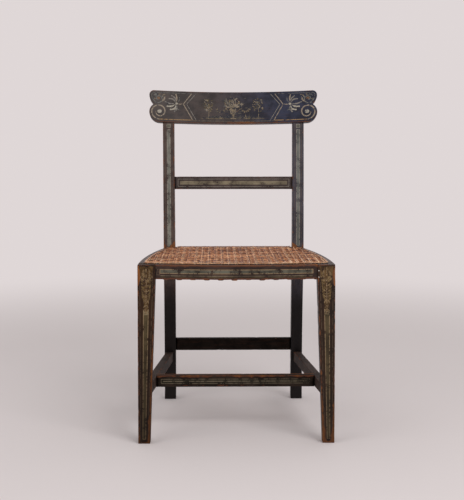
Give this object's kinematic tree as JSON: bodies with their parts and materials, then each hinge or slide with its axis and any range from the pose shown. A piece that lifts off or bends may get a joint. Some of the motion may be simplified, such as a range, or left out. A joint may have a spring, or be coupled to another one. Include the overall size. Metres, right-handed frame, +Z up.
{
  "type": "painted side chair with a caned seat",
  "caption": "Painted side chair with a curved crest rail lobed at its ends, a cross rail, a bow-fronted caned seat, tapered front legs, swept rear legs and stretchers.",
  "frame": {"origin": "on the floor, in the middle of the whole chair's box", "axes": "+Z up; +X to the right of someone who faces the chair; +Y towards the back, so that the front of the seat faces -Y"},
  "size_m": [0.47, 0.5061, 0.8617],
  "materials": {
    "painted_wood": "beech painted brown-black, worn to the wood along its edges, with green-grey bands and ornament in dull gold under an old satin varnish",
    "cane": "split cane, darkened with age, slightly glossy",
    "bare_wood": "bare softwood pegs, cut flush"
  },
  "bodies": {
    "root": {"crest_rail": "painted_wood", "back_cross_rail": "painted_wood", "left_back_post": "painted_wood", "right_back_post": "painted_wood", "left_front_leg": "painted_wood", "right_front_leg": "painted_wood", "front_seat_rail": "painted_wood", "left_side_seat_rail": "painted_wood", "right_side_seat_rail": "painted_wood", "rear_seat_rail": "painted_wood", "left_side_stretcher": "painted_wood", "right_side_stretcher": "painted_wood", "middle_stretcher": "painted_wood", "rear_stretcher": "painted_wood", "cane_panel": "cane", "cane_binder": "cane", "cane_pegs": "bare_wood"}
  },
  "joints": []
}
